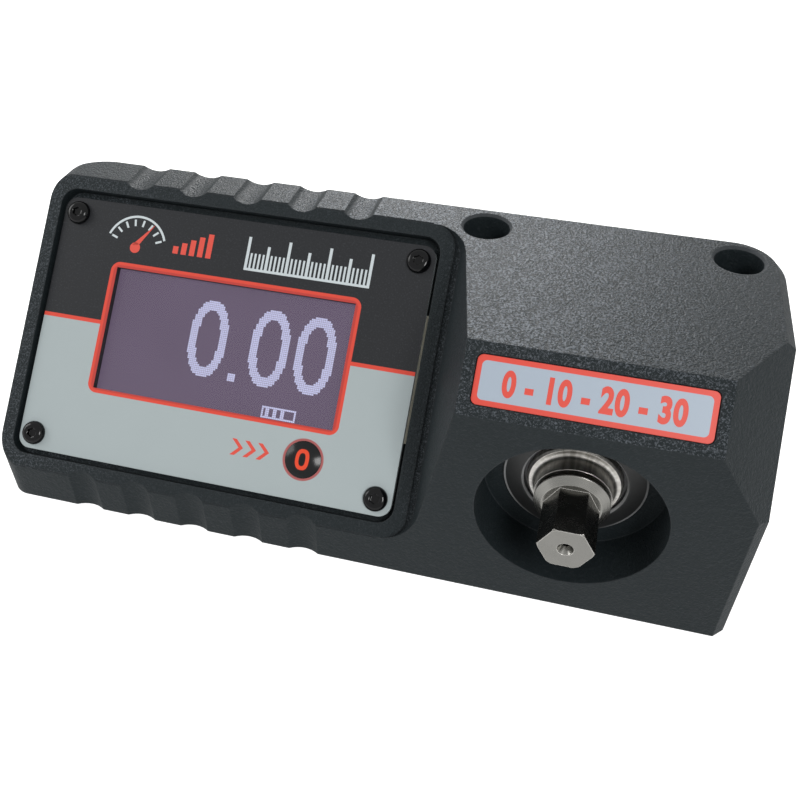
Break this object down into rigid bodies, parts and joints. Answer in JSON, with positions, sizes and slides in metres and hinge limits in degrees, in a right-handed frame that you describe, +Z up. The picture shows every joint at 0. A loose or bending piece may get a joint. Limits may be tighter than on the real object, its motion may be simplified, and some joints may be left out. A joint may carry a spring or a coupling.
{
  "type": "torque tester",
  "caption": "Bench torque tester: cast housing with a sloping display head, a zero button and a recessed hexagon drive on a strain-gauged torsion tube.",
  "frame": {"origin": "centre of the base of the whole part's box, the hexagon included", "axes": "+X along the housing from the display head to the drive end, +Y from the drive's face to the rear, +Z up from the base"},
  "size_m": [0.172, 0.0676, 0.061],
  "materials": {
    "housing": "black textured coat on a casting",
    "range_plate": "printed plate",
    "fascia": "printed panel, fine satin",
    "gasket": "cream foam",
    "black_screws": "black, shiny",
    "window": "clear",
    "lcd_glass": "polarised",
    "backlight": "light guide",
    "bezel": "black tinned sheet",
    "board": "green solder mask",
    "spacer": "nickel plated",
    "zinc_screws": "zinc plated",
    "black_plastic": "moulded",
    "button": "glossy moulding",
    "plunger": "ivory",
    "drive": "turned and hardened",
    "bush": "dark bearing polymer",
    "guard": "moulded ring",
    "tube": "machined",
    "gauge": "polyimide foil",
    "dark_screws": "black oxide",
    "cap": "moulded",
    "lead_grey": "sheath",
    "lead_red": "sheath",
    "connector": "nylon",
    "nut": "nickel plated"
  },
  "bodies": {
    "tester": {"housing": "housing", "range_plate": "range_plate", "fascia": "fascia", "fascia_gasket": "gasket", "fascia_screws": "black_screws", "window": "window", "lcd_glass": "lcd_glass", "lcd_backlight": "backlight", "lcd_bezel": "bezel", "display_board": "board", "display_standoffs": "spacer", "display_screws": "zinc_screws", "main_board": "board", "board_standoffs": "spacer", "board_screws": "zinc_screws", "board_connector": "black_plastic", "processor": "black_plastic", "converter": "black_plastic", "key_switch": "black_plastic", "support_bush": "bush", "guard_ring": "guard", "torsion_tube": "tube", "strain_gauges": "gauge", "terminal_ring": "board", "flange_screws": "dark_screws", "rear_cap": "cap", "gauge_lead": "lead_grey", "lead_plug": "connector", "lead_socket": "connector", "power_socket": "black_plastic", "power_nut": "nut", "power_lead": "lead_red", "power_plug": "connector"},
    "zero_button": {"button_cap": "button"},
    "plunger": {"switch_plunger": "plunger"},
    "drive": {"drive_shaft": "drive"}
  },
  "joints": [
    {"name": "button_press", "type": "slide", "parent": "tester", "child": "zero_button", "axis": [0, 0.7071, -0.7071], "range_m": [0, 0.0006], "stiffness_N_per_m": 1000, "springref_m": -0.001},
    {"name": "plunger_press", "type": "slide", "parent": "tester", "child": "plunger", "axis": [0, 0.7071, -0.7071], "range_m": [0, 0.0006]},
    {"name": "drive_twist", "type": "hinge", "parent": "tester", "child": "drive", "pos_m": [0.0495, 0, 0.0275], "axis": [0, 1, 0], "range_deg": [-0.5, 0.5], "stiffness_Nm_per_rad": 3440}
  ],
  "couplings": [
    {"joint": "plunger_press", "follows": "button_press", "ratio": 1}
  ]
}
